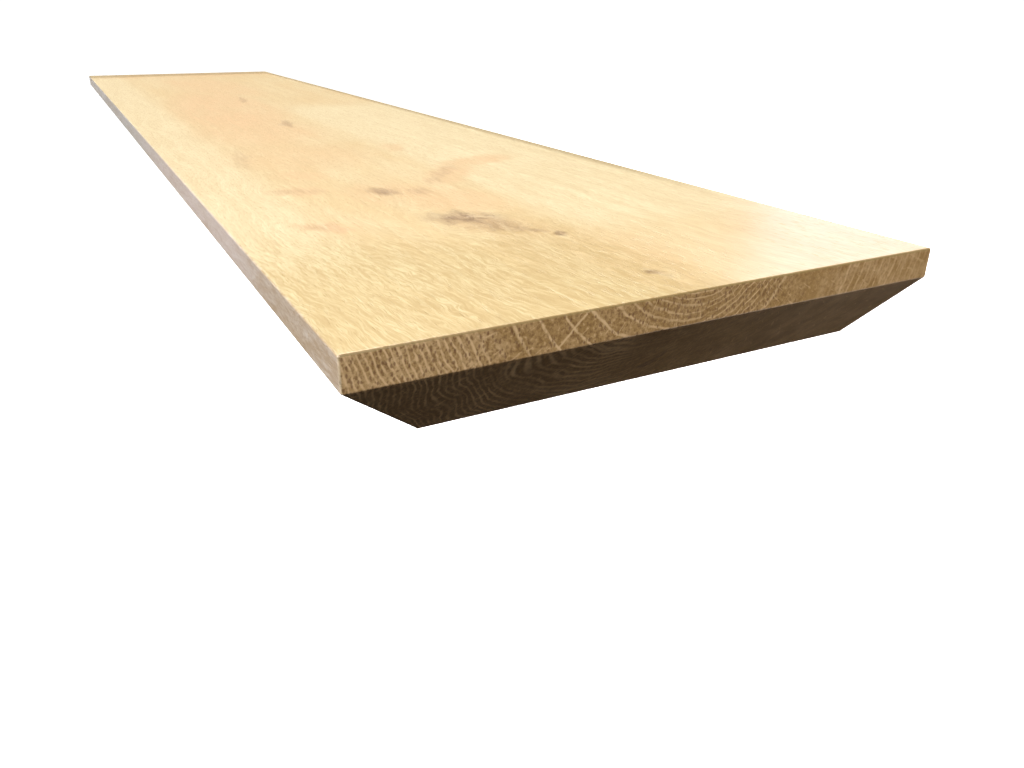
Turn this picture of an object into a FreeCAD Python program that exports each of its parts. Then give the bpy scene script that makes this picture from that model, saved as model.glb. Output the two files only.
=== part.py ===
import FreeCAD, Part
import math
import os

# A solid oak board with a square back and undercut front and ends, on three hidden wall supports.
# The sizes are in millimetres.
# The origin is the centre of the footprint, level with the underside.
# +X runs along the board, +Y points into the wall and +Z points up.

# Board
board_length = 970.0
board_depth = 205.0
board_thickness = 40.0
edge_height = 10.0          # upright edge that is left above the undercut
undercut_angle = 45.0       # slope of the undercut, measured from the underside
arris_radius = 0.8          # every outer edge is sanded to this radius

# Support: a plate that is screwed to the wall, and a rod riveted into the plate
support_spacing = 320.0
support_names = ("left", "middle", "right")
plate_length = 70.0
plate_height = 25.0
plate_thickness = 3.0
plate_corner_radius = 4.0
screw_spacing = 50.0
screw_hole_diameter = 5.0
countersink_diameter = 10.0
rod_diameter = 12.0
rod_length = 120.0
rod_tip_chamfer = 1.5
spigot_diameter = 8.0

# What the board leaves free around a support
rod_clearance = 0.05        # radial
rod_end_clearance = 5.0
drill_point_angle = 118.0
plate_side_clearance = 1.0
screw_head_clearance = 1.5  # between the plate's front and the bottom of its pocket

half_length = board_length / 2
half_depth = board_depth / 2
undercut_height = board_thickness - edge_height
undercut_inset = undercut_height / math.tan(math.radians(undercut_angle))
support_height = board_thickness / 2
plate_front = half_depth - plate_thickness
pocket_bottom = plate_front - screw_head_clearance
support_places = [(index - 1) * support_spacing for index in range(len(support_names))]

ALONG = FreeCAD.Vector(1, 0, 0)
TO_WALL = FreeCAD.Vector(0, 1, 0)
FROM_WALL = FreeCAD.Vector(0, -1, 0)


def prism(points, direction):
    """Solid swept from a closed outline along a straight vector."""
    corners = [FreeCAD.Vector(*point) for point in points]
    outline = Part.makePolygon(corners + corners[:1])
    return Part.Face(outline).extrude(direction)


def rounded_plate(centre_x, length, height, front_y, thickness, corner_radius):
    """Upright plate, parallel to the wall, with its four corners rounded."""
    corner = FreeCAD.Vector(centre_x - length / 2, front_y, support_height - height / 2)
    plate = Part.makeBox(length, thickness, height, corner)
    across = [
        edge
        for edge in plate.Edges
        if abs(edge.tangentAt(edge.FirstParameter).dot(TO_WALL)) > 0.99
    ]
    return plate.makeFillet(corner_radius, across)


def rod_axis_point(centre_x, y):
    return FreeCAD.Vector(centre_x, y, support_height)


def board_blank():
    """The board's outer form: the length profile and the cross-section, intersected."""
    cross_section = prism(
        [
            (-half_length, -half_depth, board_thickness),
            (-half_length, -half_depth, undercut_height),
            (-half_length, -half_depth + undercut_inset, 0),
            (-half_length, half_depth, 0),
            (-half_length, half_depth, board_thickness),
        ],
        ALONG * board_length,
    )
    length_profile = prism(
        [
            (-half_length, -half_depth, board_thickness),
            (-half_length, -half_depth, undercut_height),
            (-half_length + undercut_inset, -half_depth, 0),
            (half_length - undercut_inset, -half_depth, 0),
            (half_length, -half_depth, undercut_height),
            (half_length, -half_depth, board_thickness),
        ],
        TO_WALL * board_depth,
    )
    blank = cross_section.common(length_profile).Solids[0]
    return blank.makeFillet(arris_radius, blank.Edges)


def support_pocket(centre_x):
    """Space cut into the board's back for one support: a plate pocket and a drilled bore."""
    pocket = rounded_plate(
        centre_x,
        plate_length + 2 * plate_side_clearance,
        plate_height + 2 * plate_side_clearance,
        pocket_bottom,
        half_depth - pocket_bottom,
        plate_corner_radius + plate_side_clearance,
    )
    bore_radius = rod_diameter / 2 + rod_clearance
    bore_end = plate_front - rod_length - rod_end_clearance
    bore = Part.makeCylinder(
        bore_radius, pocket_bottom - bore_end, rod_axis_point(centre_x, pocket_bottom), FROM_WALL
    )
    point_length = bore_radius / math.tan(math.radians(drill_point_angle / 2))
    drill_point = Part.makeCone(
        bore_radius, 0, point_length, rod_axis_point(centre_x, bore_end), FROM_WALL
    )
    return pocket.fuse([bore, drill_point])


def oak_board():
    return board_blank().cut([support_pocket(x) for x in support_places])


def support_plate(centre_x):
    """Wall plate with a countersunk screw hole each side of the rod's rivet hole."""
    plate = rounded_plate(
        centre_x, plate_length, plate_height, plate_front, plate_thickness, plate_corner_radius
    )
    front = rod_axis_point(centre_x, plate_front)
    openings = [Part.makeCylinder(spigot_diameter / 2, plate_thickness, front, TO_WALL)]
    screw_radius = screw_hole_diameter / 2
    sink_radius = countersink_diameter / 2
    for side in (-1, 1):
        hole = rod_axis_point(centre_x + side * screw_spacing / 2, plate_front)
        openings.append(Part.makeCylinder(screw_radius, plate_thickness, hole, TO_WALL))
        openings.append(
            Part.makeCone(sink_radius, screw_radius, sink_radius - screw_radius, hole, TO_WALL)
        )
    return plate.cut(openings)


def support_rod(centre_x):
    """Round rod with a chamfered tip, and a spigot that fills the plate's rivet hole."""
    shoulder = rod_axis_point(centre_x, plate_front)
    rod = Part.makeCylinder(rod_diameter / 2, rod_length, shoulder, FROM_WALL)
    tip = [edge for edge in rod.Edges if abs(edge.BoundBox.YMax - (plate_front - rod_length)) < 0.01]
    rod = rod.makeChamfer(rod_tip_chamfer, tip)
    spigot = Part.makeCylinder(spigot_diameter / 2, plate_thickness, shoulder, TO_WALL)
    return rod.fuse(spigot).removeSplitter()


def export(name, shape):
    solids = shape.Solids
    assert len(solids) == 1 and solids[0].isValid(), name
    solids[0].exportStep(f"parts/{name}.step")
    print(name, "volume", round(solids[0].Volume), "mm3")


os.makedirs("parts", exist_ok=True)
export("oak_board", oak_board())
for name, place in zip(support_names, support_places):
    export(f"support_plate_{name}", support_plate(place))
    export(f"support_rod_{name}", support_rod(place))
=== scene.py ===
"""Looks of the undercut oak board and its hidden wall supports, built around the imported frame."""

import math
from collections import namedtuple

import bmesh
import bpy
from mathutils import Matrix, Vector, noise


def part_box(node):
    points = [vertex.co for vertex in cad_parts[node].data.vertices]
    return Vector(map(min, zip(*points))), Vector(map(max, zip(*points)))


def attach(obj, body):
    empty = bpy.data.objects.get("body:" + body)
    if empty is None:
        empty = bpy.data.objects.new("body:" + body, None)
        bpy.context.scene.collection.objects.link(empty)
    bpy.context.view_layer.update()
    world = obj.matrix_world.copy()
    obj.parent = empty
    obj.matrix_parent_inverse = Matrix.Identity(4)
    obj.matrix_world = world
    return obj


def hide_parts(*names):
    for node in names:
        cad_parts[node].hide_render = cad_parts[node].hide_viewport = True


MM = 0.001

# Studio
FLOOR_LEVEL = -0.9
DOME_RADIUS = 30.0
CAMERA_LENS = 28.69
CAMERA_PLACE = (0.65424, -0.14883, 0.11108)
CAMERA_HEADING = math.radians(61.609)
CAMERA_PITCH = math.radians(24.494)
CAMERA_ROLL = math.radians(0.374)
WARM = (1.0, 0.93, 0.83)
COOL = (0.70, 0.745, 1.0)
PLAIN = (1.0, 0.98, 0.95)
BLUE = (0.61, 0.69, 1.0)
AMBER = (1.0, 0.86, 0.76)
WORLD_COLOUR = (0.95, 0.97, 1.0, 1)
WORLD_BELOW, WORLD_ABOVE = 0.015, 0.20

# The board's form. Its overall size comes from the frame.
EDGE_HEIGHT = 10 * MM
UNDERCUT_SLOPE = math.radians(45)
ARRIS = 0.8 * MM
ARRIS_STEPS = 4
SHARP_ANGLE = math.radians(35)

# Spacing of the mesh lines, away from the checked knots and at them
COARSE_X, COARSE_Y = 6 * MM, 5 * MM
FINE_X, FINE_Y = 0.9 * MM, 0.8 * MM
SMALLEST_FINE = 4.0
COUNTING_STEPS = 2000

# Relief of the sanded top, in millimetres: a slow wave, and each knot's rim and sunk core
WAVE_HEIGHT = 0.02
RIM_HEIGHT = 0.03
CORE_DEPTH = 0.08
# How far a knot's relief reaches, and its check's size, as shares of the knot's half sizes
KNOT_REACH = 2.5
CHECK_WIDTH = 0.28
CHECK_LENGTH = 0.9

# Space round each support, as in the CAD board
PLATE_GAP = 1.0 * MM
SCREW_HEAD_GAP = 1.5 * MM
ROD_GAP = 0.05 * MM
ROD_END_GAP = 5.0 * MM
PLATE_CORNER = 4.0 * MM
DRILL_POINT = math.radians(118)
CORNER_STEPS = 6
BORE_SIDES = 48
BLUNT_TIP = 0.02
# How far a cutter runs past the face it opens, so that it cuts cleanly
OVERLAP = 2 * MM
BORE_OVERLAP = 1 * MM
SUPPORTS = ("left", "middle", "right")

# The log the board was sawn from: its pith runs along the board, above the top face.
# From here on, places in the wood are in millimetres in the row frame.
PITH_SIDE = -1.0
PITH_ABOVE_TOP = 23.6
# A bold ring crosses at this radius, where the ring count is zero
RING_ZERO = 34.0
# Rings per millimetre at that radius, and how the rate changes: (rate added, radius, blend)
LEFT_RINGS = (0.333, ((-0.19, 33.0, 1.5), (0.46, 71.0, 2.5)))
RIGHT_RINGS = (0.60, ((-0.55, 43.0, 2.0), (0.31, 66.0, 3.0)))
# The rings to the left of the pith go over into those to the right between these angles
SIDE_ANGLES = (-0.85, 0.5)
# The crowded outer rings to the left, which start beyond one faint ring
DENSE_RADII = (66.0, 72.0)
DENSE_ANGLES = (0.0, -0.3)
FAINT_RING = 66.0
# The undercut shows finer lines: this many for each ring
FINER_LINES = 2.7

# Zones of the wood, each as the two places between which it fades in
UNDERCUT_Z = (31.0, 28.0)
LOW_WAVES_Z = (33.0, 20.0)
FAINT_LINES_Y = (45.0, 65.0)
SMOOTH_Y = (30.0, 50.0)
NEAR_X, NEAR_Y = (365.0, 435.0), (24.0, -2.0)
INNER_RADII = (70.0, 52.0)
BROWN_END_Y = (70.0, 100.0)
SAPWOOD_Y = (-58.0, -80.0)
PALE_Y, PALE_MIDDLE_X, PALE_REACH = (2.0, 24.0), 190.0, (280.0, 200.0)
# Along the board, where the painted cool light on the front face gives way to painted shade
PAINTED_LIGHT_FALLOFF = (0.22, 0.55)
FAR_RIM_X = (-425.0, -462.0)
BACK_RIM_X, BACK_RIM_Y = (410.0, 280.0), (93.0, 99.5)

# One bold ray on the near end, given by its side place at the underside and its slope
BOLD_RAY_SIDE = -76.0
BOLD_RAY_SLOPE = 1.05
BOLD_RAY_X, BOLD_RAY_Z = 480.0, 37.0
# Nearer to the end than this place, the fibres lean by this slope
LEAN_START = 390.0
LEAN_SLOPE = -0.17

# Knots and stains on the top face, in millimetres and degrees. Only the checked ones are cracked.
Knot = namedtuple("Knot", "name x y half_length half_width turn darkness check_depth")
KNOTS = [
    Knot(*row)
    for row in (
        ("main", 375.0, -17.5, 14.0, 9.0, 56.0, 0.92, 0.3),
        ("main_core", 374.0, -18.5, 11.0, 5.0, 58.0, 1.10, 0.0),
        ("tail", 389.0, -13.0, 11.0, 8.0, 20.0, 0.72, 0.0),
        ("trail", 397.5, -8.0, 4.5, 3.2, 20.0, 0.68, 0.0),
        ("trail_end", 404.5, -3.5, 4.0, 2.0, 35.0, 0.60, 0.0),
        ("dot", 412.0, 1.5, 3.6, 2.2, -20.0, 1.20, 0.25),
        ("pin", 465.0, 2.0, 2.6, 2.0, 50.0, 0.92, 0.4),
        ("pin_side", 469.5, 3.5, 2.4, 1.5, -10.0, 0.55, 0.0),
        ("second", 314.5, -29.0, 8.0, 5.5, 10.0, 0.85, 0.25),
        ("second_low", 320.0, -15.0, 7.0, 4.5, 0.0, 0.40, 0.0),
        ("streak", 285.0, 11.0, 24.0, 3.4, -34.0, 0.32, 0.0),
        ("left_low", 366.0, -70.0, 9.0, 5.0, 51.0, 0.30, 0.0),
        ("left_high", 298.0, -62.0, 10.0, 6.0, 65.0, 0.25, 0.0),
        ("left_far", 200.0, -66.0, 26.0, 4.0, -6.0, 0.25, 0.0),
        ("middle", 62.0, -7.0, 20.0, 3.0, -8.0, 0.60, 0.0),
        ("far", -120.0, 0.0, 30.0, 2.4, -8.0, 0.50, 0.0),
    )
]

# Orange heartwood tones on the top face, in millimetres and degrees
Heart = namedtuple("Heart", "name x y half_length half_width turn strength")
HEARTS = [
    Heart(*row)
    for row in (
        ("pin_halo", 468.0, 0.0, 14.0, 9.0, 10.0, 0.45),
        ("knot_left", 396.0, -12.0, 24.0, 13.0, 20.0, 0.55),
        ("golden", 436.0, -2.0, 32.0, 24.0, 20.0, 0.40),
        ("halo", 338.0, -10.0, 28.0, 18.0, 15.0, 0.75),
        ("second_halo", 317.0, -28.0, 22.0, 18.0, 0.0, 0.65),
        ("low_mark", 366.0, -69.0, 13.0, 8.0, 51.0, 0.95),
        ("high_mark", 298.0, -62.0, 13.0, 10.0, 65.0, 0.70),
        ("next_mark", 262.0, -52.0, 15.0, 11.0, 20.0, 0.60),
        ("diagonal", 288.0, 14.0, 30.0, 10.0, -38.0, 0.90),
        ("wing", 259.0, 42.0, 24.0, 11.0, -70.0, 0.90),
        ("pink", 205.0, -38.0, 44.0, 36.0, 0.0, 0.45),
        ("spot", 196.0, 20.0, 15.0, 6.0, -10.0, 0.70),
        ("tan", 96.0, -34.0, 64.0, 36.0, -4.0, 0.75),
        ("orange", -50.0, -28.0, 150.0, 36.0, -3.0, 1.00),
        ("distant", -275.0, -2.0, 125.0, 36.0, 5.0, 0.75),
        ("end", -450.0, 0.0, 42.0, 90.0, 0.0, 0.85),
    )
]
# A mark shorter than this is less torn at its edges
TORN_LENGTH = 14.0


def colour(red, green, blue):
    return (red, green, blue, 1.0)


CREAM = colour(0.600, 0.525, 0.325)
TAN = colour(0.545, 0.420, 0.222)
HEART = colour(0.575, 0.392, 0.215)
DEEP_TAN = colour(0.420, 0.300, 0.140)
PALE = colour(0.660, 0.580, 0.370)
PORE_SIDE = colour(0.270, 0.185, 0.080)
END_LIGHT = colour(0.510, 0.350, 0.185)
END_BROWN = colour(0.355, 0.225, 0.092)
END_DEEP = colour(0.180, 0.100, 0.038)
END_LINE = colour(0.690, 0.500, 0.290)
PORE_END = colour(0.170, 0.090, 0.038)
# Brown of the painted shade line along the top arrises, also used for the rim round the far end
ARRIS_DARK = colour(0.230, 0.165, 0.065)
# Tints, which multiply what is under them
STAIN = colour(0.645, 0.600, 0.610)
OLIVE = colour(0.930, 0.950, 0.895)
# Painted cool light on the front face, and painted bluish shade on it towards the far end
PAINTED_COOL_LIGHT = colour(1.050, 1.005, 1.165)
PAINTED_COOL_SHADE_FAR = colour(0.860, 0.905, 1.090)
ZINC_DARK = colour(0.52, 0.53, 0.55)
ZINC_LIGHT = colour(0.66, 0.67, 0.70)
ZINC_LINE = colour(0.42, 0.41, 0.40)

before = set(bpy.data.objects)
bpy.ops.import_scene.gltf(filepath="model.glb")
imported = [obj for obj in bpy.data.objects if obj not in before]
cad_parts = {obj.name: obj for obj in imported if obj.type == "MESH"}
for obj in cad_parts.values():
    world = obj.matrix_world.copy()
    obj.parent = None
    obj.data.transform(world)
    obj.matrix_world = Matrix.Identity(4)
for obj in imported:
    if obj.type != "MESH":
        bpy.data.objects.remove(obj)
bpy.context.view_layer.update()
board_low, board_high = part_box("oak_board")

# The same measures in millimetres: the near end, the length and the top face
END = round(board_high.x / MM, 3)
LENGTH = round((board_high.x - board_low.x) / MM, 3)
TOP = round(board_high.z / MM, 3)


# ---------------------------------------------------------------- camera, floor and light

def add_camera():
    """Wide view from the near end, a little above the board and off its front corner."""
    data = bpy.data.cameras.new("camera")
    data.sensor_width = 36.0
    data.lens = CAMERA_LENS
    data.clip_start = 0.01
    camera = bpy.data.objects.new("camera", data)
    turn = (
        Matrix.Rotation(CAMERA_HEADING, 4, "Z")
        @ Matrix.Rotation(math.pi / 2 - CAMERA_PITCH, 4, "X")
        @ Matrix.Rotation(CAMERA_ROLL, 4, "Z")
    )
    camera.matrix_world = Matrix.Translation(CAMERA_PLACE) @ turn
    bpy.context.scene.collection.objects.link(camera)
    bpy.context.scene.camera = camera


def add_area_light(name, place, target, size, power, tone, mirrored=True):
    """One area light. A light that is not mirrored shows in no gloss, only on matt wood."""
    data = bpy.data.lights.new(name, "AREA")
    data.shape = "RECTANGLE"
    data.size, data.size_y = size
    data.energy = power
    data.color = tone
    light = bpy.data.objects.new(name, data)
    light.visible_glossy = mirrored
    aim = (Vector(target) - Vector(place)).to_track_quat("-Z", "Y")
    light.matrix_world = Matrix.Translation(place) @ aim.to_matrix().to_4x4()
    bpy.context.scene.collection.objects.link(light)


def floor_material():
    """White that gives off its own light, so that the ground stays white everywhere."""
    material = bpy.data.materials.new("floor_white")
    material.use_nodes = True
    shader = material.node_tree.nodes["Principled BSDF"]
    shader.inputs["Base Color"].default_value = (0.9, 0.9, 0.9, 1)
    shader.inputs["Roughness"].default_value = 1.0
    shader.inputs["Emission Color"].default_value = (1, 1, 1, 1)
    shader.inputs["Emission Strength"].default_value = 1.0
    return material


def add_floor():
    """Pale studio floor well below the board, which hangs as on a wall, under a far pale dome."""
    mesh = bpy.data.meshes.new("floor")
    bm = bmesh.new()
    bmesh.ops.create_uvsphere(bm, u_segments=64, v_segments=96, radius=DOME_RADIUS)
    for vertex in bm.verts:
        vertex.co.z = max(vertex.co.z, FLOOR_LEVEL)
    bm.to_mesh(mesh)
    bm.free()
    floor = bpy.data.objects.new("floor", mesh)
    bpy.context.scene.collection.objects.link(floor)
    mesh.materials.append(floor_material())
    floor.visible_diffuse = False
    floor.visible_glossy = False
    floor.visible_shadow = False


def studio_world():
    """Even sky, weak below the board and stronger above it."""
    world = bpy.data.worlds.new("studio")
    world.use_nodes = True
    nodes, links = world.node_tree.nodes, world.node_tree.links
    sky = nodes["Background"]
    sky.inputs["Color"].default_value = WORLD_COLOUR
    here = nodes.new("ShaderNodeTexCoord")
    split = nodes.new("ShaderNodeSeparateXYZ")
    rise = nodes.new("ShaderNodeMapRange")
    rise.inputs["From Min"].default_value = -0.1
    rise.inputs["From Max"].default_value = 0.9
    rise.inputs["To Min"].default_value = WORLD_BELOW
    rise.inputs["To Max"].default_value = WORLD_ABOVE
    links.new(here.outputs["Generated"], split.inputs[0])
    links.new(split.outputs["Z"], rise.inputs["Value"])
    links.new(rise.outputs["Result"], sky.inputs["Strength"])
    return world


def add_light():
    """Soft studio light: warm from above, cool on the front, a low window behind, a weak one below."""
    scene = bpy.context.scene
    scene.view_settings.view_transform = "Standard"
    scene.view_settings.look = "None"
    scene.world = studio_world()
    add_area_light("end_light", (4.5, -0.5, 3.9), (0.3, 0, 0), (2.2, 2.2), 285, WARM)
    add_area_light("far_light", (-2.6, 0.6, 4.2), (-0.3, 0, 0), (2.5, 2.5), 268, WARM)
    add_area_light("front_light", (-0.7, -2.8, 1.2), (-0.2, 0, 0), (2.2, 1.4), 224, COOL, False)
    add_area_light("window", (-1.23, 2.32, 0.62), (0.45, 0.08, 0.04), (0.8, 0.8), 5.2, BLUE)
    add_area_light("low_light", (0.62, 0.35, -0.3), (0.46, 0.06, 0.0), (0.25, 0.25), 0.40, AMBER)
    add_area_light("back_light", (0.0, 5.0, 2.0), (0, 0, 0), (4.0, 2.0), 310, PLAIN, False)
    add_area_light("under_light", (-1.6, 0.0, -0.7), (0, 0, 0), (0.8, 0.8), 16, WARM, False)


# ---------------------------------------------------------------- the board's mesh

def graded_lines(low, high, coarse, fine, zones):
    """Positions from low to high, closer together near each (centre, reach) zone."""
    steps = COUNTING_STEPS
    length = (high - low) / steps
    counted = [0.0]
    for index in range(steps):
        place = low + (index + 0.5) * length
        near = [math.exp(-(((place - centre) / reach) ** 4)) for centre, reach in zones]
        spacing = coarse + (fine - coarse) * max(near, default=0)
        counted.append(counted[-1] + length / spacing)
    total = max(2, round(counted[-1]))
    lines, index = [], 0
    for step in range(total + 1):
        wanted = counted[-1] * step / total
        while index < steps - 1 and counted[index + 1] < wanted:
            index += 1
        share = (wanted - counted[index]) / (counted[index + 1] - counted[index])
        lines.append(low + (index + min(share, 1.0)) * length)
    return lines


def board_levels():
    """Rings round the board from the top face down: (height, undercut inset, back inset, corner)."""
    thickness = board_high.z - board_low.z
    undercut = thickness - EDGE_HEIGHT
    reach = undercut / math.tan(UNDERCUT_SLOPE)
    soft = ARRIS * math.tan(UNDERCUT_SLOPE / 2)
    levels = []
    for step in range(ARRIS_STEPS + 1):
        turn = math.pi / 2 * step / ARRIS_STEPS
        inset = ARRIS * (1 - math.sin(turn))
        levels.append((thickness - ARRIS * (1 - math.cos(turn)), inset, inset, ARRIS - inset))
    for step in range(ARRIS_STEPS // 2 + 1):
        turn = UNDERCUT_SLOPE * step / (ARRIS_STEPS // 2)
        height = undercut + soft - ARRIS * math.sin(turn)
        levels.append((height, ARRIS * (1 - math.cos(turn)), 0.0, ARRIS))
    lowest_turns = [math.pi / 2 * step / ARRIS_STEPS for step in range(ARRIS_STEPS, -1, -1)]
    heights = sorted({round(ARRIS * (1 - math.cos(turn)), 9) for turn in lowest_turns}, reverse=True)
    centre = reach + soft
    slope_end = ARRIS * (1 - math.cos(UNDERCUT_SLOPE))
    for height in heights:
        back = ARRIS - math.sqrt(max(0.0, ARRIS**2 - (ARRIS - height) ** 2))
        if height > slope_end:
            front = (undercut - height) / math.tan(UNDERCUT_SLOPE)
        else:
            front = centre - math.sqrt(max(0.0, ARRIS**2 - (ARRIS - height) ** 2))
        levels.append((height, front, back, height))
    return levels


def spread(lines, low, high):
    """The same lines, stretched to run from low to high."""
    share = (high - low) / (lines[-1] - lines[0])
    return [low + (place - lines[0]) * share for place in lines]


def ring_points(level, x_lines, y_lines):
    """One closed ring round the board, anticlockwise from above, starting at the front left corner."""
    height, under, back, corner = level
    left, right = board_low.x + under, board_high.x - under
    front, rear = board_low.y + under, board_high.y - back
    xs = spread(x_lines, left, right)
    ys = spread(y_lines, front, rear)
    z = board_low.z + height
    sides = (
        [(x, front) for x in xs],
        [(right, y) for y in ys],
        [(x, rear) for x in reversed(xs)],
        [(left, y) for y in reversed(ys)],
    )
    centres = (
        (right - corner, front + corner),
        (right - corner, rear - corner),
        (left + corner, rear - corner),
        (left + corner, front + corner),
    )
    points = []
    for index, (side, centre) in enumerate(zip(sides, centres)):
        points += [(x, y, z) for x, y in side[1:-1]]
        for step in range(ARRIS_STEPS + 1):
            turn = math.pi / 2 * (index - 1 + step / ARRIS_STEPS)
            x = centre[0] + corner * math.cos(turn)
            y = centre[1] + corner * math.sin(turn)
            points.append((x, y, z))
    return points


def grid_faces(bm, level, x_lines, y_lines, ring, upward):
    """Flat face of the board as a grid whose rim is the given ring of vertices."""
    height, under, back, _ = level
    xs = spread(x_lines, board_low.x + under, board_high.x - under)
    ys = spread(y_lines, board_low.y + under, board_high.y - back)
    z = board_low.z + height
    last_x, last_y = len(xs) - 1, len(ys) - 1
    # Vertices of the ring that lie on each side, corners included
    corner = ARRIS_STEPS
    bottom = [ring[-1]] + ring[: last_x - 1] + [ring[last_x - 1]]
    start = last_x - 1 + corner
    right = [ring[start]] + ring[start + 1 : start + last_y] + [ring[start + last_y]]
    start += last_y + corner
    top = [ring[start]] + ring[start + 1 : start + last_x] + [ring[start + last_x]]
    start += last_x + corner
    left = [ring[start]] + ring[start + 1 : start + last_y] + [ring[start + last_y]]
    table = [[None] * (last_y + 1) for _ in range(last_x + 1)]
    for i in range(last_x + 1):
        table[i][0] = bottom[i]
        table[i][last_y] = top[last_x - i]
    for j in range(1, last_y):
        table[last_x][j] = right[j]
        table[0][j] = left[last_y - j]
    for i in range(1, last_x):
        for j in range(1, last_y):
            table[i][j] = bm.verts.new((xs[i], ys[j], z))
    for i in range(last_x):
        for j in range(last_y):
            quad = [table[i][j], table[i + 1][j], table[i + 1][j + 1], table[i][j + 1]]
            bm.faces.new(quad if upward else quad[::-1])


def cutter(rings):
    """Closed solid through a list of rings of points, all the same length."""
    bm = bmesh.new()
    made = [[bm.verts.new(point) for point in ring] for ring in rings]
    for lower, upper in zip(made, made[1:]):
        for k in range(len(lower)):
            n = (k + 1) % len(lower)
            bm.faces.new((lower[k], lower[n], upper[n], upper[k]))
    bm.faces.new(made[0][::-1])
    bm.faces.new(made[-1])
    bmesh.ops.remove_doubles(bm, verts=bm.verts, dist=1e-7)
    bmesh.ops.recalc_face_normals(bm, faces=bm.faces)
    return bm


def rounded_outline(low, high, radius, steps):
    """Rounded rectangle in the X-Z plane, as (x, z) points."""
    centres = (
        (high[0] - radius, low[1] + radius),
        (high[0] - radius, high[1] - radius),
        (low[0] + radius, high[1] - radius),
        (low[0] + radius, low[1] + radius),
    )
    points = []
    for index, (x, z) in enumerate(centres):
        for step in range(steps + 1):
            turn = math.pi / 2 * (index - 1 + step / steps)
            points.append((x + radius * math.cos(turn), z + radius * math.sin(turn)))
    return points


def support_space(side):
    """The plate pocket and the rod bore of one support, as two closed bmeshes."""
    plate_low, plate_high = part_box(f"support_plate_{side}")
    rod_low, rod_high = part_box(f"support_rod_{side}")
    outside = board_high.y + OVERLAP
    bottom = plate_low.y - SCREW_HEAD_GAP
    outline = rounded_outline(
        (plate_low.x - PLATE_GAP, plate_low.z - PLATE_GAP),
        (plate_high.x + PLATE_GAP, plate_high.z + PLATE_GAP),
        PLATE_CORNER + PLATE_GAP,
        CORNER_STEPS,
    )
    pocket = cutter([[(x, y, z) for x, z in outline] for y in (bottom, outside)])
    radius = (rod_high.x - rod_low.x) / 2 + ROD_GAP
    middle = ((rod_low.x + rod_high.x) / 2, (rod_low.z + rod_high.z) / 2)
    end = rod_low.y - ROD_END_GAP
    point = end - radius / math.tan(DRILL_POINT / 2)
    turns = [2 * math.pi * k / BORE_SIDES for k in range(BORE_SIDES)]
    rings = []
    for y, r in ((point, radius * BLUNT_TIP), (end, radius), (bottom + BORE_OVERLAP, radius)):
        rings.append([(middle[0] + r * math.cos(t), y, middle[1] + r * math.sin(t)) for t in turns])
    return pocket, cutter(rings)


def joined(name, parts):
    """Several bmeshes in one object."""
    mesh = bpy.data.meshes.new(name)
    whole = bmesh.new()
    for part in parts:
        part.to_mesh(mesh)
        whole.from_mesh(mesh)
        part.free()
    whole.to_mesh(mesh)
    whole.free()
    thing = bpy.data.objects.new(name, mesh)
    bpy.context.scene.collection.objects.link(thing)
    return thing


def knot_frame(x, y, knot):
    """A point's place in a knot's own axes, as shares of its half length and half width."""
    along, across = x - knot.x, y - knot.y
    cosine, sine = math.cos(math.radians(knot.turn)), math.sin(math.radians(knot.turn))
    return (
        (along * cosine + across * sine) / knot.half_length,
        (-along * sine + across * cosine) / knot.half_width,
    )


def check_depth_at(u, v, x, knot):
    """Depth of the wavy crack through a checked knot, in millimetres."""
    bend = 0.5 * noise.noise(Vector((u * 1.5, v * 1.5, x * 0.01)))
    line = abs(v - 0.25 * math.sin(3 * u) - bend)
    return knot.check_depth * max(0.0, 1 - line / CHECK_WIDTH) * max(0.0, 1 - abs(u) / CHECK_LENGTH)


def top_relief(x, y):
    """Height of the sanded top above its plane, in millimetres: knots sit low and some are checked."""
    height = WAVE_HEIGHT * (noise.noise(Vector((x / 90, y / 28, 3.1))) - 1)
    for knot in KNOTS:
        u, v = knot_frame(x, y, knot)
        far = math.hypot(u, v)
        if far > KNOT_REACH:
            continue
        rim = math.exp(-(((far - 1.15) / 0.35) ** 2))
        core = max(0.0, 1 - far * far)
        height += (RIM_HEIGHT * rim - CORE_DEPTH * core) * knot.darkness
        if knot.check_depth > 0:
            height -= check_depth_at(u, v, x, knot)
    return min(height, 0.0)


def plank_mesh():
    """The board's outer skin, with mesh lines closer together at the checked knots."""
    checked = [knot for knot in KNOTS if knot.check_depth > 0]
    fine_x = [(knot.x * MM, 1.3 * max(knot.half_length, SMALLEST_FINE) * MM) for knot in checked]
    fine_y = [(knot.y * MM, 1.6 * max(knot.half_width, SMALLEST_FINE) * MM) for knot in checked]
    x_lines = graded_lines(board_low.x, board_high.x, COARSE_X, FINE_X, fine_x)
    y_lines = graded_lines(board_low.y, board_high.y, COARSE_Y, FINE_Y, fine_y)
    levels = board_levels()
    bm = bmesh.new()
    rings = [[bm.verts.new(p) for p in ring_points(level, x_lines, y_lines)] for level in levels]
    for upper, lower in zip(rings, rings[1:]):
        for k in range(len(upper)):
            n = (k + 1) % len(upper)
            bm.faces.new((upper[k], lower[k], lower[n], upper[n]))
    grid_faces(bm, levels[0], x_lines, y_lines, rings[0], True)
    grid_faces(bm, levels[-1], x_lines, y_lines, rings[-1], False)
    bmesh.ops.remove_doubles(bm, verts=bm.verts, dist=1e-6)
    for vertex in bm.verts:
        if vertex.co.z > board_high.z - 1e-6:
            vertex.co.z += top_relief(vertex.co.x / MM, vertex.co.y / MM) * MM
    bmesh.ops.recalc_face_normals(bm, faces=bm.faces)
    mesh = bpy.data.meshes.new("oak_plank")
    bm.to_mesh(mesh)
    bm.free()
    return mesh


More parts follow.
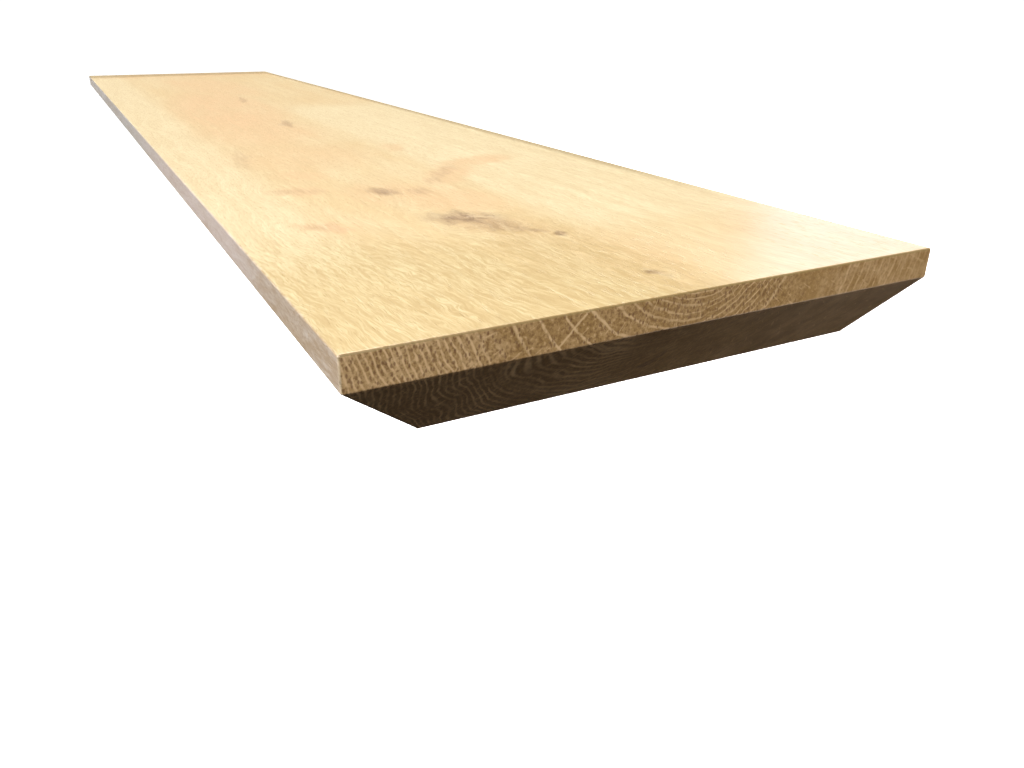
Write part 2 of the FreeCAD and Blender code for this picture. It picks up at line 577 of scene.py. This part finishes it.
def cut_support_spaces(plank):
    """Take the three plate pockets and then the three rod bores out of the plank."""
    spaces = [support_space(side) for side in SUPPORTS]
    for name, parts in zip(("pockets", "bores"), zip(*spaces)):
        tool = joined(name, parts)
        cut = plank.modifiers.new(name, "BOOLEAN")
        cut.operation, cut.solver, cut.object = "DIFFERENCE", "EXACT", tool
        graph = bpy.context.evaluated_depsgraph_get()
        result = bpy.data.meshes.new_from_object(plank.evaluated_get(graph))
        plank.modifiers.clear()
        plank.data = result
        bpy.data.objects.remove(tool)


def add_board():
    plank = bpy.data.objects.new("oak_plank", plank_mesh())
    bpy.context.scene.collection.objects.link(plank)
    cut_support_spaces(plank)
    plank.data.shade_smooth()
    plank.data.set_sharp_from_angle(angle=SHARP_ANGLE)
    weighted = plank.modifiers.new("even_faces", "WEIGHTED_NORMAL")
    weighted.keep_sharp = True
    plank.data.materials.clear()
    plank.data.materials.append(oak_material())
    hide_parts("oak_board")
    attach(plank, "board")


# ---------------------------------------------------------------- materials

class Shader:
    """Short names for building one node material."""

    def __init__(self, name):
        self.material = bpy.data.materials.new(name)
        self.material.use_nodes = True
        self.tree = self.material.node_tree
        self.surface = self.tree.nodes["Principled BSDF"]

    def add(self, kind, inputs=(), **settings):
        node = self.tree.nodes.new(kind)
        for key, value in settings.items():
            setattr(node, key, value)
        for key, value in dict(inputs).items():
            self.feed(node.inputs[key], value)
        return node

    def feed(self, socket, value):
        if isinstance(value, bpy.types.NodeSocket):
            self.tree.links.new(value, socket)
        else:
            socket.default_value = value

    def math(self, operation, first, second=None):
        inputs = {0: first} if second is None else {0: first, 1: second}
        return self.add("ShaderNodeMath", inputs, operation=operation).outputs[0]

    def sum(self, *terms):
        total = terms[0]
        for term in terms[1:]:
            total = self.math("ADD", total, term)
        return total

    def times(self, *factors):
        product = factors[0]
        for factor in factors[1:]:
            product = self.math("MULTIPLY", product, factor)
        return product

    def less(self, first, second):
        return self.math("SUBTRACT", first, second)

    def over(self, first, second):
        return self.math("DIVIDE", first, second)

    def most(self, first, second):
        return self.math("MAXIMUM", first, second)

    def least(self, first, second):
        return self.math("MINIMUM", first, second)

    def rest(self, share):
        return self.less(1.0, share)

    def off(self, value, middle):
        """How far a value is from the middle, on either side."""
        return self.math("ABSOLUTE", self.sum(value, -middle))

    def dimmed(self, value, share, loss):
        """The value, less this much of it where the share is 1."""
        return self.times(value, self.sum(1.0, self.times(share, -loss)))

    def between(self, share, first, second):
        """A number that goes from first to second as share goes from 0 to 1."""
        return self.sum(first, self.times(share, self.less(second, first)))

    def red(self, colour_output):
        """The red part of a colour, used as a number."""
        return self.add("ShaderNodeSeparateColor", {0: colour_output}).outputs[0]

    def split(self, vector):
        return self.add("ShaderNodeSeparateXYZ", {0: vector}).outputs[:3]

    def random(self, number):
        """One number from 0 to 1 for each whole number."""
        node = self.add("ShaderNodeTexWhiteNoise", {"W": number}, noise_dimensions="1D")
        return node.outputs["Value"]

    def fade(self, value, low, high, to_low=0.0, to_high=1.0):
        """Smooth step of value from low to high."""
        node = self.add(
            "ShaderNodeMapRange",
            {"Value": value, "From Min": low, "From Max": high, "To Min": to_low, "To Max": to_high},
            interpolation_type="SMOOTHSTEP",
        )
        return node.outputs["Result"]

    def vector(self, x, y, z):
        return self.add("ShaderNodeCombineXYZ", {"X": x, "Y": y, "Z": z}).outputs[0]

    def noise(self, vector, scale=1.0, detail=2.0, roughness=0.5, distortion=0.0):
        node = self.add(
            "ShaderNodeTexNoise",
            {
                "Vector": vector,
                "Scale": scale,
                "Detail": detail,
                "Roughness": roughness,
                "Distortion": distortion,
            },
        )
        return node.outputs["Fac"]

    def cells(self, vector, scale):
        return self.add("ShaderNodeTexVoronoi", {"Vector": vector, "Scale": scale}, feature="F1")

    def mix(self, share, first, second, blend="MIX"):
        node = self.add("ShaderNodeMix", data_type="RGBA", blend_type=blend)
        node.clamp_factor = True
        self.feed(node.inputs[0], share)
        self.feed(node.inputs[6], first)
        self.feed(node.inputs[7], second)
        return node.outputs[2]

    def tint(self, share, base, tone):
        """The base colour, multiplied by the tone where the share is 1."""
        return self.mix(share, base, self.mix(1.0, base, tone, "MULTIPLY"))

    def finish(self, tone, rough, height, depth, strength):
        """Join the colour, the roughness and a shallow bump to the surface."""
        self.feed(self.surface.inputs["Base Color"], tone)
        self.feed(self.surface.inputs["Roughness"], rough)
        bump = self.add("ShaderNodeBump", {"Height": height, "Distance": depth, "Strength": strength})
        self.feed(self.surface.inputs["Normal"], bump.outputs[0])
        return self.material


class Oak(Shader):
    """Flat-sawn oak as one solid texture, in millimetres in the row frame."""

    def __init__(self):
        super().__init__("oak")
        self.find_place()
        self.find_marks()
        self.find_rings()
        self.find_ring_lines()
        self.change_undercut_lines()
        self.find_pores()
        self.find_grain()
        self.find_rays()
        self.find_tones()

    def find_place(self):
        here = self.add("ShaderNodeTexCoord")
        place = self.add(
            "ShaderNodeVectorMath", {0: here.outputs["Object"], "Scale": 1 / MM}, operation="SCALE"
        )
        self.x, self.y, self.z = self.split(place.outputs[0])
        self.face_x, self.face_y, self.face_z = self.split(here.outputs["Normal"])
        self.steep_x = self.math("ABSOLUTE", self.face_x)
        self.end_grain = self.fade(self.steep_x, 0.12, 0.35)
        self.undercut = self.fade(self.z, *UNDERCUT_Z)

    def at(self, x_size, y_size, z_size=None):
        """The place, measured in these sizes."""
        sizes = (x_size, y_size, z_size or y_size)
        places = (self.x, self.y, self.z)
        return self.vector(*[self.times(axis, 1 / size) for axis, size in zip(places, sizes)])

    def wander(self, reach, where, scale=1.0, detail=2.0):
        """A smooth push of up to about a quarter of reach each way."""
        return self.times(self.sum(self.noise(where, scale, detail, 0.6), -0.5), reach)

    def from_mark(self, mark):
        """Squared distance from a mark's middle, as a share of its own size, and how far along Y."""
        cosine, sine = math.cos(math.radians(mark.turn)), math.sin(math.radians(mark.turn))
        loose = min(1.0, mark.half_length / TORN_LENGTH)
        away_x = self.sum(self.x, -mark.x, self.times(self.torn_x, loose))
        away_y = self.sum(self.y, -mark.y, self.times(self.torn_y, loose))
        u = self.sum(
            self.times(away_x, cosine / mark.half_length), self.times(away_y, sine / mark.half_length)
        )
        v = self.sum(
            self.times(away_x, -sine / mark.half_width), self.times(away_y, cosine / mark.half_width)
        )
        return self.sum(self.times(u, u), self.times(v, v)), away_y

    def find_marks(self):
        """What the knots and stains do: darken, push the rings outwards, part the fibres."""
        self.torn_x = self.wander(26.0, self.at(14, 5), 1.0, 3.0)
        self.torn_y = self.wander(15.0, self.at(22, 7, 9), 1.3, 3.0)
        self.stain, self.push, self.part = 0.0, 0.0, 0.0
        for knot in KNOTS:
            far, away_y = self.from_mark(knot)
            self.stain = self.most(self.stain, self.fade(far, 2.2, 0.0, 0.0, knot.darkness))
            swell = self.math("POWER", math.e, self.times(far, -0.2))
            reach = min(knot.half_width, 8.0) * min(knot.darkness, 1.0)
            self.push = self.sum(self.push, self.times(swell, 0.25 * reach))
            parted = self.times(swell, away_y, 0.7 * reach / knot.half_width)
            self.part = self.sum(self.part, parted)

    def growth(self, first_rate, changes):
        """Ring count and rings per millimetre, where the rate changes at some radii.

        Each change is (rate added, radius, blend). The rate is a smooth step, the count its integral.
        """
        count = self.times(self.sum(self.grown, -RING_ZERO), first_rate)
        rate = first_rate
        for added, start, blend in changes:
            grown = self.math("POWER", math.e, self.times(self.sum(self.grown, -start), 1 / blend))
            more = self.sum(grown, 1.0)
            already = added * blend * math.log(1 + math.exp((RING_ZERO - start) / blend))
            gained = self.times(self.math("LOGARITHM", more, math.e), added * blend)
            count = self.sum(count, gained, -already)
            rate = self.sum(rate, self.times(self.over(grown, more), added))
        return count, rate

    def find_pith(self):
        """Distance and angle from a pith that wanders, and comes nearer to the top in the middle."""
        self.along = self.times(self.less(END, self.x), 1 / LENGTH)
        sway = self.times(self.wander(22.0, self.at(230, 1e6), 1.0, 1.0), self.fade(self.along, 0.0, 0.25))
        dip = self.times(self.along, self.less(1.2, self.along), 48.0)
        across = self.sum(self.y, -PITH_SIDE, self.times(sway, -1.0))
        down = self.sum(TOP + PITH_ABOVE_TOP, self.times(self.z, -1.0), self.times(dip, -1.0))
        square = self.sum(self.times(across, across), self.times(down, down))
        self.radius = self.math("SQRT", square)
        self.angle = self.math("ARCTAN2", across, down)

    def find_rings(self):
        """Ring count at each place, and the rings per millimetre there."""
        self.find_pith()
        self.dense = self.times(
            self.fade(self.radius, *DENSE_RADII), self.fade(self.angle, *DENSE_ANGLES)
        )
        waves = self.wander(3.0, self.at(170, 22))
        low_waves = self.times(
            self.wander(11.0, self.at(170, 20), 1.0, 1.0), self.fade(self.z, *LOW_WAVES_Z)
        )
        ripple = self.wander(1.8, self.at(40, 5.5))
        uneven = self.wander(1.1, self.vector(0.0, 0.0, self.times(self.radius, 1 / 3.2)), 1.0, 0.0)
        uneven = self.times(uneven, self.rest(self.dense))
        self.grown = self.sum(self.radius, waves, low_waves, ripple, self.push, uneven)
        left_count, left_rate = self.growth(*LEFT_RINGS)
        right_count, right_rate = self.growth(*RIGHT_RINGS)
        self.side = self.fade(self.angle, *SIDE_ANGLES)
        self.count = self.between(self.side, left_count, right_count)
        self.rate = self.between(self.side, left_rate, right_rate)

    def boldness(self):
        """How bold each ring's line is, to the left of the pith and to the right."""
        mood = self.random(self.math("ROUND", self.count))
        faintest = self.sum(0.6, self.times(self.undercut, -0.25), self.times(self.dense, 0.25))
        moody = self.fade(mood, 0.0, 1.0, faintest, 1.0)
        left = self.most(self.fade(self.rate, 0.30, 0.18), moody)
        left = self.times(left, self.fade(self.off(self.grown, FAINT_RING), 2.5, 6.0, 0.35, 1.0))
        return left, self.times(moody, self.fade(self.rate, 0.10, 0.28))

    def find_ring_lines(self):
        """The pale early wood line, broken here and there, and the porous band around it."""
        phase = self.math("FRACT", self.count)
        off_line = self.over(self.least(phase, self.rest(phase)), self.rate)
        self.patch = self.fade(self.noise(self.at(30, 2.6), 1.0, 2.0, 0.6), 0.3, 0.55, 0.35, 1.0)
        half_line = self.least(self.over(0.22, self.rate), 0.62)
        wider = self.sum(1.0, self.times(self.most(self.undercut, self.dense), 0.25))
        line = self.fade(self.over(off_line, self.times(half_line, wider)), 1.0, 0.2)
        self.line = self.times(line, self.between(self.side, *self.boldness()), self.patch)
        self.porous = self.fade(off_line, 1.9, 0.7)

    def change_undercut_lines(self):
        """The undercut crosses the rings at a slant: finer soft lines to the left, few to the right."""
        finer = self.math("FRACT", self.times(self.count, FINER_LINES))
        finer = self.least(finer, self.rest(finer))
        off_finer = self.over(finer, self.times(self.rate, FINER_LINES))
        finer_here = self.times(self.fade(self.rate, 0.30, 0.18), self.undercut, self.patch)
        self.line = self.most(self.line, self.times(self.fade(off_finer, 0.8, 0.15), finer_here))
        self.porous = self.most(self.porous, self.times(self.fade(off_finer, 1.6, 0.7), finer_here))
        self.plain = self.times(self.undercut, self.side)
        self.line = self.dimmed(self.line, self.plain, 0.75)
        self.line = self.times(self.line, self.fade(self.y, *FAINT_LINES_Y, 1.0, 0.65))
        clouds = self.fade(self.noise(self.at(60, 14), 1.0, 2.0, 0.6), 0.38, 0.62)
        self.blotch = self.times(clouds, self.undercut)
        self.line = self.dimmed(self.line, self.blotch, 0.60)

    def vessels(self, cells_at, smallest, largest):
        """Long thin pores, crowded beside the early wood line."""
        cells = self.cells(cells_at, 1.0)
        mood = self.red(cells.outputs["Color"])
        size = self.fade(mood, 0.0, 1.0, smallest, largest)
        vessel = self.fade(self.over(cells.outputs["Distance"], size), 1.0, 0.4)
        crowded = self.sum(self.times(self.porous, 0.62), self.times(mood, 0.45))
        return self.times(vessel, self.fade(crowded, 0.38, 0.60))

    def find_pores(self):
        """Pores cut along, on the long faces, and the larger ones cut across, on the ends."""
        self.smooth = self.fade(self.y, *SMOOTH_Y)
        self.pore_side = self.vessels(self.at(6.0, 0.7), 0.2, 0.42)
        pore_end = self.vessels(self.at(12.0, 1.1, 1.9), 0.30, 0.56)
        self.pore_end = self.dimmed(self.dimmed(pore_end, self.undercut, 0.8), self.smooth, 0.7)

    def along_grain(self, waved, length, width, detail):
        """Noise drawn out along the grain."""
        drawn = self.vector(
            self.times(self.x, 1 / length), self.times(waved, 1 / width), self.times(self.z, 1 / width)
        )
        return self.noise(drawn, 1.0, detail, 0.6)

    def find_grain(self):
        """Fibres, mottling and broad clouds of colour. The grain waves a little along the board."""
        ragged = self.sum(self.x, self.wander(60.0, self.at(60, 40)))
        self.near = self.times(self.fade(ragged, *NEAR_X), self.fade(self.y, *NEAR_Y))
        lean = self.times(self.most(self.sum(self.x, -LEAN_START), 0.0), LEAN_SLOPE)
        wavy = self.times(self.wander(4.5, self.at(11, 5), 1.0, 1.0), self.near)
        broad = self.wander(16.0, self.at(75, 34), 1.0, 1.0)
        waved = self.sum(self.y, broad, self.times(self.part, -1.0), lean, wavy)
        self.fibre = self.along_grain(waved, 5, 0.5, 2.0)
        self.strand = self.along_grain(waved, 12, 1.3, 3.0)
        self.band = self.along_grain(waved, 70, 5, 2.0)
        self.mottle = self.noise(self.at(26, 5), 1.0, 3.0, 0.6)
        self.speckle = self.noise(self.at(9, 1.1), 1.0, 3.0, 0.65)
        self.cloud = self.noise(self.at(110, 26, 40), 1.0, 3.0, 0.6, 0.8)

    def find_rays(self):
        """Rays: thin radial sheets, one of them bold near the end of the board."""
        sheets = self.vector(
            self.times(self.x, 1 / 14), self.times(self.angle, 70.0), self.times(self.radius, 1 / 5)
        )
        ray = self.fade(self.noise(sheets, 1.0, 1.0, 0.4), 0.66, 0.74)
        slope = self.times(self.z, -BOLD_RAY_SLOPE)
        from_bold = self.sum(self.y, slope, -BOLD_RAY_SIDE, self.wander(1.6, self.at(30, 3)))
        bold_ray = self.times(
            self.fade(self.math("ABSOLUTE", from_bold), 0.75, 0.2),
            self.fade(self.off(self.x, BOLD_RAY_X), 28.0, 12.0),
            self.fade(self.off(self.z, BOLD_RAY_Z), 8.0, 5.0),
        )
        self.ray = self.most(self.times(ray, 0.6), bold_ray)

    def find_tones(self):
        """Orange heart along the middle of the board, cream sapwood beside it."""
        heart = 0.0
        for mark in HEARTS:
            far, _ = self.from_mark(mark)
            heart = self.most(heart, self.fade(far, 1.9, 0.1, 0.0, mark.strength))
        self.heart = self.times(heart, self.fade(self.cloud, 0.25, 0.55, 0.45, 1.0))
        beside = self.times(
            self.fade(self.y, *PALE_Y), self.fade(self.off(self.x, PALE_MIDDLE_X), *PALE_REACH)
        )
        pale = self.most(beside, self.fade(self.y, *SAPWOOD_Y, 0.0, 0.9))
        pale = self.times(pale, self.fade(self.along, 0.04, 0.10, 0.2, 1.0))
        self.pale = self.most(pale, self.fade(self.cloud, 0.62, 0.36, 0.0, 0.5))

    def long_grain(self):
        """Colour of the wood sawn along the grain: olive near the end, and on the front face a painted
        cool light that turns to painted bluish shade towards the far end.
        """
        contrast = self.sum(1.0, self.times(self.near, 1.8))
        dark_strand = self.times(self.fade(self.strand, 0.40, 0.66, 0.0, 0.38), contrast)
        dark_fibre = self.times(self.fade(self.fibre, 0.42, 0.70, 0.0, 0.38), contrast)
        base = self.mix(self.pale, TAN, CREAM)
        base = self.mix(self.heart, base, HEART)
        base = self.mix(self.fade(self.band, 0.35, 0.68, 0.0, 0.30), base, DEEP_TAN)
        base = self.mix(dark_strand, base, DEEP_TAN)
        base = self.mix(self.fade(self.strand, 0.42, 0.28, 0.0, 0.30), base, PALE)
        base = self.mix(self.times(self.porous, 0.10), base, DEEP_TAN)
        base = self.mix(self.times(self.line, 0.22), base, PALE)
        base = self.mix(dark_fibre, base, DEEP_TAN)
        base = self.mix(self.times(self.ray, 0.25), base, PALE)
        base = self.mix(self.times(self.pore_side, 0.20), base, PORE_SIDE)
        base = self.tint(self.near, base, OLIVE)
        # Painted light: the front face, picked by which way it faces, is tinted cool near the end and to
        # darker bluish shade towards the far end
        painted_front_light = self.mix(self.fade(self.along, *PAINTED_LIGHT_FALLOFF), PAINTED_COOL_LIGHT, PAINTED_COOL_SHADE_FAR)
        return self.tint(self.fade(self.face_y, -0.5, -0.9), base, painted_front_light)

    def cut_grain(self):
        """Colour of the wood sawn across the grain, on the ends and their undercuts."""
        inner = self.fade(self.grown, *INNER_RADII)
        deep = self.sum(0.12, self.times(self.undercut, 0.4), self.times(self.plain, -0.45))
        left_undercut = self.times(self.undercut, self.rest(self.side))
        rough = self.times(
            self.sum(1.0, self.times(self.plain, -0.5)), self.sum(1.0, self.times(self.smooth, -0.5))
        )
        cut = self.mix(self.fade(self.mottle, 0.35, 0.65), END_BROWN, END_LIGHT)
        cut = self.mix(self.times(inner, 0.55), cut, END_BROWN)
        cut = self.mix(self.times(self.dense, 0.20), cut, END_LINE)
        cut = self.mix(self.times(self.porous, deep), cut, END_DEEP)
        cut = self.mix(self.times(left_undercut, 0.22), cut, END_DEEP)
        cut = self.mix(self.times(self.blotch, 0.25), cut, END_DEEP)
        cut = self.mix(self.times(self.fade(self.speckle, 0.46, 0.66, 0.0, 0.75), rough), cut, END_DEEP)
        cut = self.mix(self.times(self.fade(self.speckle, 0.46, 0.30, 0.0, 0.55), rough), cut, END_LINE)
        cut = self.mix(self.times(self.line, 0.90), cut, END_LINE)
        cut = self.mix(self.times(self.ray, 0.80), cut, END_LINE)
        cut = self.mix(self.times(self.pore_end, 0.70), cut, PORE_END)
        return self.mix(self.fade(self.y, *BROWN_END_Y, 0.0, 0.25), cut, END_BROWN)

    def edged(self, wood):
        """Painted shade as a dark line along the top arrises, a painted highlight on the front corners,
        and a brown rim round the far end.
        """
        # Painted shade: the top arrises, all but the front one, picked by which way they face
        arris_shade = self.times(
            self.fade(self.face_z, 0.985, 0.90),
            self.fade(self.face_z, 0.15, 0.45),
            self.fade(self.face_y, -0.3, -0.05),
        )
        # Painted highlight on the rounded corners between the front face and the ends
        painted_highlight_edge = self.times(
            self.fade(self.steep_x, 0.98, 0.85),
            self.fade(self.face_y, -0.15, -0.4),
            self.fade(self.steep_x, 0.1, 0.3),
        )
        back_rim = self.times(self.fade(self.y, *BACK_RIM_Y), self.fade(self.x, *BACK_RIM_X))
        rim = self.times(
            self.most(self.fade(self.x, *FAR_RIM_X), back_rim), self.fade(self.face_z, 0.3, 0.6)
        )
        # Painted shade line along the top arrises
        wood = self.mix(self.times(arris_shade, 0.85), wood, ARRIS_DARK)
        # Painted highlight on the front corners, in cream
        wood = self.mix(self.times(painted_highlight_edge, 0.4), wood, CREAM)
        return self.mix(self.times(rim, 0.60), wood, ARRIS_DARK)

    def stained(self, wood):
        """Knots and stains, which darken the wood twice where they are strongest."""
        stain = self.times(self.stain, self.fade(self.strand, 0.30, 0.65, 0.65, 1.25))
        wood = self.tint(stain, wood, STAIN)
        return self.tint(self.fade(stain, 0.80, 1.30, 0.0, 0.85), wood, STAIN)


def oak_material():
    oak = Oak()
    wood = oak.mix(oak.end_grain, oak.long_grain(), oak.cut_grain())
    wood = oak.stained(oak.edged(wood))
    pore = oak.between(oak.end_grain, oak.pore_side, oak.pore_end)
    rough = oak.sum(oak.fade(oak.fibre, 0.2, 0.8, 0.28, 0.37), oak.times(pore, 0.2))
    height = oak.sum(oak.times(oak.fibre, 0.3), oak.times(pore, -1.0))
    return oak.finish(wood, rough, height, 0.1 * MM, 0.6)


def steel_material():
    """Bright zinc plating: small crystals, faint drawing lines and a soft shine."""
    steel = Shader("zinc_steel")
    here = steel.add("ShaderNodeTexCoord").outputs["Object"]
    crystal = steel.red(steel.cells(here, 700.0).outputs["Color"])
    lines = steel.noise(here, 2500.0, 2.0, 0.6)
    tone = steel.mix(crystal, ZINC_DARK, ZINC_LIGHT)
    tone = steel.mix(steel.fade(lines, 0.4, 0.8, 0.0, 0.3), tone, ZINC_LINE)
    steel.surface.inputs["Metallic"].default_value = 0.75
    return steel.finish(tone, steel.fade(crystal, 0.0, 1.0, 0.38, 0.52), lines, 0.02 * MM, 0.4)


def finish_supports():
    steel = steel_material()
    for side in SUPPORTS:
        for piece in ("plate", "rod"):
            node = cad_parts[f"support_{piece}_{side}"]
            node.data.materials.clear()
            node.data.materials.append(steel)


add_camera()
add_light()
add_floor()
add_board()
finish_supports()
